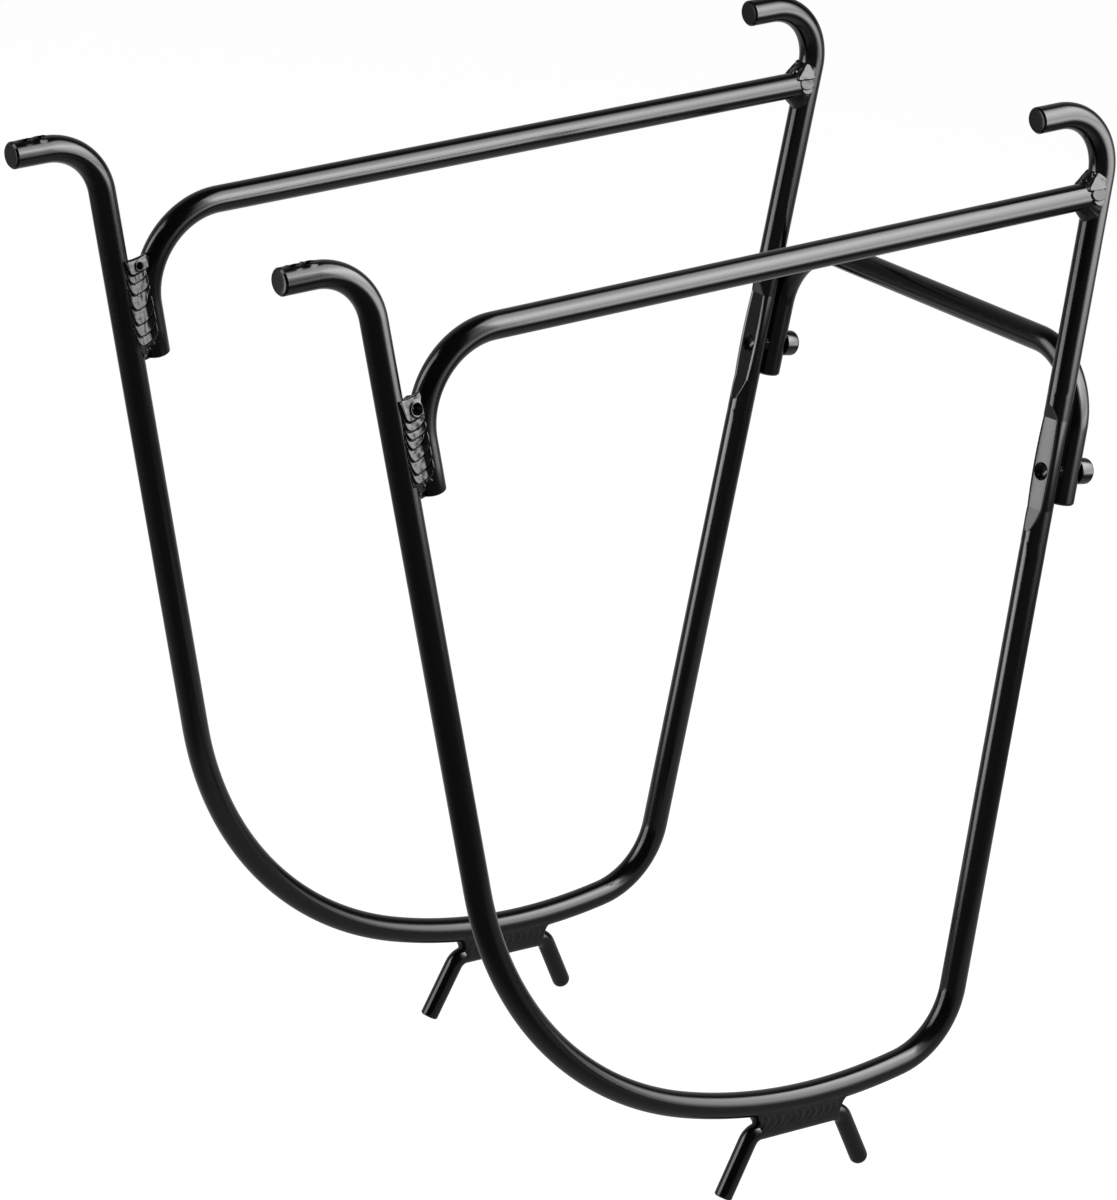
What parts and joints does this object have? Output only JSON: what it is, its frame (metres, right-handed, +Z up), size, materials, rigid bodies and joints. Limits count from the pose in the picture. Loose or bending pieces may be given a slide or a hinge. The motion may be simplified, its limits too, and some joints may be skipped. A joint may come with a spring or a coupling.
{
  "type": "bag support frame pair",
  "caption": "Pair of hooked bent-rod side frames joined by a bolted rear crossbar, which hang on a carrier and keep side bags clear of the wheel.",
  "frame": {"origin": "bottom centre of the bounding box, level with the lowest foot tips and midway between the side frames", "axes": "+Z up, +X rearwards from the pegs to the hooks, +Y to the right"},
  "size_m": [0.3716, 0.199, 0.4053],
  "materials": {
    "rod": "gloss black",
    "weld": "satin black",
    "screw": "gloss black"
  },
  "bodies": {
    "root": {"crossbar": "rod", "left_hoop_rod": "rod", "left_top_rail": "rod", "left_foot_bracket": "rod", "left_front_weld_outer": "weld", "left_front_weld_inner": "weld", "left_rear_weld": "weld", "left_foot_weld_outer": "weld", "left_foot_weld_inner": "weld", "left_crossbar_screw": "screw", "right_hoop_rod": "rod", "right_top_rail": "rod", "right_foot_bracket": "rod", "right_front_weld_outer": "weld", "right_front_weld_inner": "weld", "right_rear_weld": "weld", "right_foot_weld_outer": "weld", "right_foot_weld_inner": "weld", "right_crossbar_screw": "screw"}
  },
  "joints": []
}
